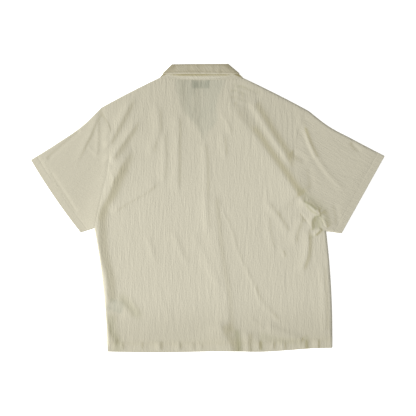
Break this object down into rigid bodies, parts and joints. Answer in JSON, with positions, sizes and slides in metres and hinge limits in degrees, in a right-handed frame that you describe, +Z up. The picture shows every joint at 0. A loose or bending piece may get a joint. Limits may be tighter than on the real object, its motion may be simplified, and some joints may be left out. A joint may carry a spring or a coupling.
{
  "type": "short-sleeved shirt",
  "caption": "Loose short-sleeved button-through shirt with an open notched collar, buttoned and laid flat on its front with the back up.",
  "frame": {"origin": "on the surface that the shirt rests on, below the middle of its outline", "axes": "+X to the right of the back view, across the sleeves; +Y from the hem to the collar; +Z up from the surface, out of the back"},
  "size_m": [0.9006, 0.7352, 0.0121],
  "materials": {
    "cloth": "matt crinkled cotton, cream",
    "buttons": "smooth, low sheen, cream",
    "labels": "plain woven tape, blank"
  },
  "bodies": {
    "root": {"back": "cloth", "front_left": "cloth", "front_right": "cloth", "sleeve_left": "cloth", "sleeve_right": "cloth", "collar": "cloth", "lapel_left": "cloth", "lapel_right": "cloth", "button_1": "buttons", "button_2": "buttons", "button_3": "buttons", "button_4": "buttons", "button_5": "buttons", "neck_label": "labels", "care_label": "labels"}
  },
  "joints": []
}
